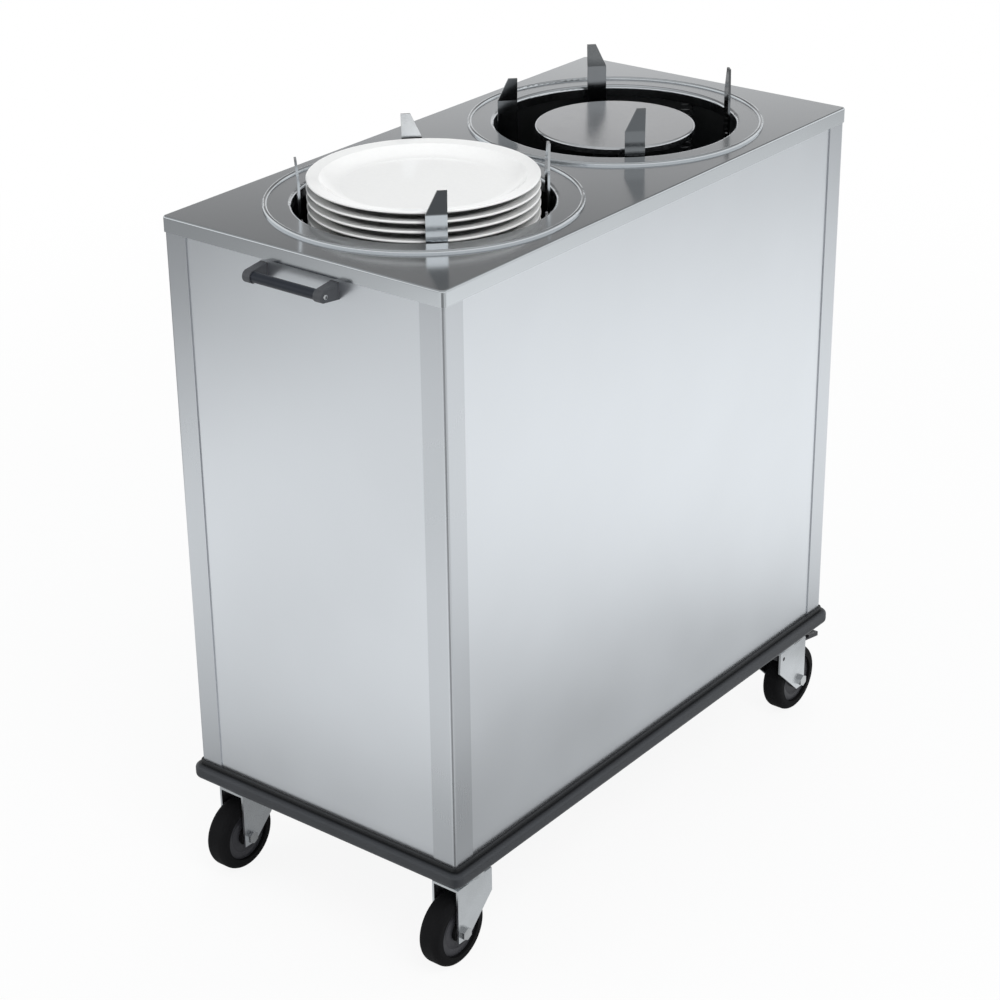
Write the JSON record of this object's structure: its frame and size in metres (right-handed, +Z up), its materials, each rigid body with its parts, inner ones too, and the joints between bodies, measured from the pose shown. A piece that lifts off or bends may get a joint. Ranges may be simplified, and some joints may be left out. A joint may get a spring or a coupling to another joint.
{
  "type": "heated plate dispenser",
  "caption": "Closed steel cabinet on casters with sprung, heated silos in its top that hold stacks of plates level with the deck.",
  "frame": {"origin": "on the floor under the middle of the cabinet", "axes": "+Z up, +Y along the length towards the control end, the handle at the -Y end, +X to the right when facing the controls from the handle end"},
  "size_m": [0.4544, 0.9252, 0.99],
  "materials": {
    "deck_steel": "polished stainless sheet",
    "panel_steel": "satin brushed stainless sheet",
    "post_steel": "satin stainless angle",
    "frame_steel": "plain formed steel",
    "bumper_vinyl": "matte vinyl",
    "handle_plastic": "smooth blue-black",
    "bracket_metal": "dark grey cast",
    "can_steel": "dull formed sheet",
    "carrier_steel": "polished round plate",
    "spider_steel": "plain steel",
    "spring_steel": "drawn wire",
    "guide_steel": "polished blade",
    "heater_sheath": "heat-tinted sheath",
    "conduit_metal": "flexible conduit",
    "control_steel": "satin plate",
    "black_plastic": "moulded",
    "rocker_plastic": "smooth red",
    "lamp_lens": "amber lens",
    "plate_ceramic": "white glaze",
    "caster_zinc": "bright zinc plate",
    "caster_bolt": "zinc plate",
    "tyre_rubber": "solid tyre",
    "pedal_steel": "black"
  },
  "bodies": {
    "cabinet": {"deck": "deck_steel", "silo_flange_front": "deck_steel", "silo_flange_rear": "deck_steel", "front_panel": "panel_steel", "rear_panel": "panel_steel", "left_panel": "panel_steel", "right_panel": "panel_steel", "corner_posts": "post_steel", "base_frame": "frame_steel", "base_pan": "frame_steel", "bumper": "bumper_vinyl", "handle_bar": "handle_plastic", "handle_brackets": "bracket_metal", "silo_can_front": "can_steel", "silo_can_rear": "can_steel", "guide_brackets": "can_steel", "control_box": "can_steel", "terminal_covers": "can_steel", "slide_rods": "spider_steel", "carrier_springs_front": "spring_steel", "carrier_springs_rear": "spring_steel", "heaters": "heater_sheath", "wiring_conduits": "conduit_metal", "control_plate": "control_steel", "switch_body": "black_plastic", "thermostats": "black_plastic", "cord_gland": "black_plastic", "pilot_lamps": "lamp_lens", "caster_plates": "caster_zinc"},
    "carrier_front": {"carrier_plate_front": "carrier_steel", "carrier_spider_front": "spider_steel"},
    "carrier_rear": {"carrier_plate_rear": "carrier_steel", "carrier_spider_rear": "spider_steel"},
    "plates": {"plate_stack": "plate_ceramic"},
    "rocker": {"rocker_switch": "rocker_plastic"},
    "knob_front": {"thermostat_knob_front": "black_plastic"},
    "knob_rear": {"thermostat_knob_rear": "black_plastic"},
    "guide_front_1": {"plate_guide_front_1": "guide_steel"},
    "guide_front_2": {"plate_guide_front_2": "guide_steel"},
    "guide_front_3": {"plate_guide_front_3": "guide_steel"},
    "guide_front_4": {"plate_guide_front_4": "guide_steel"},
    "guide_rear_1": {"plate_guide_rear_1": "guide_steel"},
    "guide_rear_2": {"plate_guide_rear_2": "guide_steel"},
    "guide_rear_3": {"plate_guide_rear_3": "guide_steel"},
    "guide_rear_4": {"plate_guide_rear_4": "guide_steel"},
    "fork_front_left": {"caster_fork_front_left": "caster_zinc", "caster_axle_front_left": "caster_bolt"},
    "wheel_front_left": {"caster_wheel_front_left": "tyre_rubber"},
    "fork_front_right": {"caster_fork_front_right": "caster_zinc", "caster_axle_front_right": "caster_bolt"},
    "wheel_front_right": {"caster_wheel_front_right": "tyre_rubber"},
    "fork_rear_left": {"caster_fork_rear_left": "caster_zinc", "caster_axle_rear_left": "caster_bolt"},
    "wheel_rear_left": {"caster_wheel_rear_left": "tyre_rubber"},
    "fork_rear_right": {"caster_fork_rear_right": "caster_zinc", "caster_axle_rear_right": "caster_bolt"},
    "wheel_rear_right": {"caster_wheel_rear_right": "tyre_rubber"},
    "pedal_left": {"brake_pedal_left": "pedal_steel"},
    "pedal_right": {"brake_pedal_right": "pedal_steel"}
  },
  "joints": [
    {"name": "carrier_slide_front", "type": "slide", "parent": "cabinet", "child": "carrier_front", "axis": [0, 0, 1], "range_m": [-0.33, 0.072], "stiffness_N_per_m": 700, "springref_m": 0.108, "deforming": ["carrier_springs_front"]},
    {"name": "carrier_slide_rear", "type": "slide", "parent": "cabinet", "child": "carrier_rear", "axis": [0, 0, 1], "range_m": [-0.402, 0], "stiffness_N_per_m": 700, "springref_m": 0.06, "deforming": ["carrier_springs_rear"]},
    {"name": "plates_lift", "type": "slide", "parent": "carrier_front", "child": "plates", "axis": [0, 0, 1], "range_m": [0, 0.15]},
    {"name": "guide_front_1_swing", "type": "hinge", "parent": "cabinet", "child": "guide_front_1", "pos_m": [0.11384, -0.09938, 0.928], "axis": [0, 0, 1], "range_deg": [0, 18]},
    {"name": "guide_front_2_swing", "type": "hinge", "parent": "cabinet", "child": "guide_front_2", "pos_m": [-0.10112, -0.08666, 0.928], "axis": [0, 0, 1], "range_deg": [0, 18]},
    {"name": "guide_front_3_swing", "type": "hinge", "parent": "cabinet", "child": "guide_front_3", "pos_m": [-0.11384, -0.30162, 0.928], "axis": [0, 0, 1], "range_deg": [0, 18]},
    {"name": "guide_front_4_swing", "type": "hinge", "parent": "cabinet", "child": "guide_front_4", "pos_m": [0.10112, -0.31434, 0.928], "axis": [0, 0, 1], "range_deg": [0, 18]},
    {"name": "guide_rear_1_swing", "type": "hinge", "parent": "cabinet", "child": "guide_rear_1", "pos_m": [0.11384, 0.30162, 0.928], "axis": [0, 0, 1], "range_deg": [0, 90]},
    {"name": "guide_rear_2_swing", "type": "hinge", "parent": "cabinet", "child": "guide_rear_2", "pos_m": [-0.10112, 0.31434, 0.928], "axis": [0, 0, 1], "range_deg": [0, 90]},
    {"name": "guide_rear_3_swing", "type": "hinge", "parent": "cabinet", "child": "guide_rear_3", "pos_m": [-0.11384, 0.09938, 0.928], "axis": [0, 0, 1], "range_deg": [-90, 0]},
    {"name": "guide_rear_4_swing", "type": "hinge", "parent": "cabinet", "child": "guide_rear_4", "pos_m": [0.10112, 0.08666, 0.928], "axis": [0, 0, 1], "range_deg": [0, 90]},
    {"name": "swivel_front_left", "type": "hinge", "parent": "cabinet", "child": "fork_front_left", "pos_m": [-0.184, -0.371, 0.122], "axis": [0, 0, 1], "continuous": true},
    {"name": "roll_front_left", "type": "hinge", "parent": "fork_front_left", "child": "wheel_front_left", "pos_m": [-0.184, -0.403, 0.05], "axis": [1, 0, 0], "continuous": true},
    {"name": "swivel_front_right", "type": "hinge", "parent": "cabinet", "child": "fork_front_right", "pos_m": [0.184, -0.371, 0.122], "axis": [0, 0, 1], "continuous": true},
    {"name": "roll_front_right", "type": "hinge", "parent": "fork_front_right", "child": "wheel_front_right", "pos_m": [0.184, -0.403, 0.05], "axis": [1, 0, 0], "continuous": true},
    {"name": "swivel_rear_left", "type": "hinge", "parent": "cabinet", "child": "fork_rear_left", "pos_m": [-0.184, 0.371, 0.122], "axis": [0, 0, 1], "continuous": true},
    {"name": "roll_rear_left", "type": "hinge", "parent": "fork_rear_left", "child": "wheel_rear_left", "pos_m": [-0.184, 0.403, 0.05], "axis": [1, 0, 0], "continuous": true},
    {"name": "swivel_rear_right", "type": "hinge", "parent": "cabinet", "child": "fork_rear_right", "pos_m": [0.184, 0.371, 0.122], "axis": [0, 0, 1], "continuous": true},
    {"name": "roll_rear_right", "type": "hinge", "parent": "fork_rear_right", "child": "wheel_rear_right", "pos_m": [0.184, 0.403, 0.05], "axis": [1, 0, 0], "continuous": true},
    {"name": "pedal_left_press", "type": "hinge", "parent": "fork_rear_left", "child": "pedal_left", "pos_m": [-0.184, 0.354, 0.1066], "axis": [1, 0, 0], "range_deg": [-5, 0]},
    {"name": "pedal_right_press", "type": "hinge", "parent": "fork_rear_right", "child": "pedal_right", "pos_m": [0.184, 0.354, 0.1066], "axis": [1, 0, 0], "range_deg": [-5, 0]},
    {"name": "knob_front_turn", "type": "hinge", "parent": "cabinet", "child": "knob_front", "pos_m": [-0.008, 0.4317, 0.28], "axis": [0, 1, 0], "range_deg": [0, 270]},
    {"name": "knob_rear_turn", "type": "hinge", "parent": "cabinet", "child": "knob_rear", "pos_m": [0.076, 0.4317, 0.28], "axis": [0, 1, 0], "range_deg": [0, 270]},
    {"name": "rocker_tip", "type": "hinge", "parent": "cabinet", "child": "rocker", "pos_m": [-0.078, 0.4252, 0.292], "axis": [1, 0, 0], "range_deg": [-24, 0]}
  ]
}
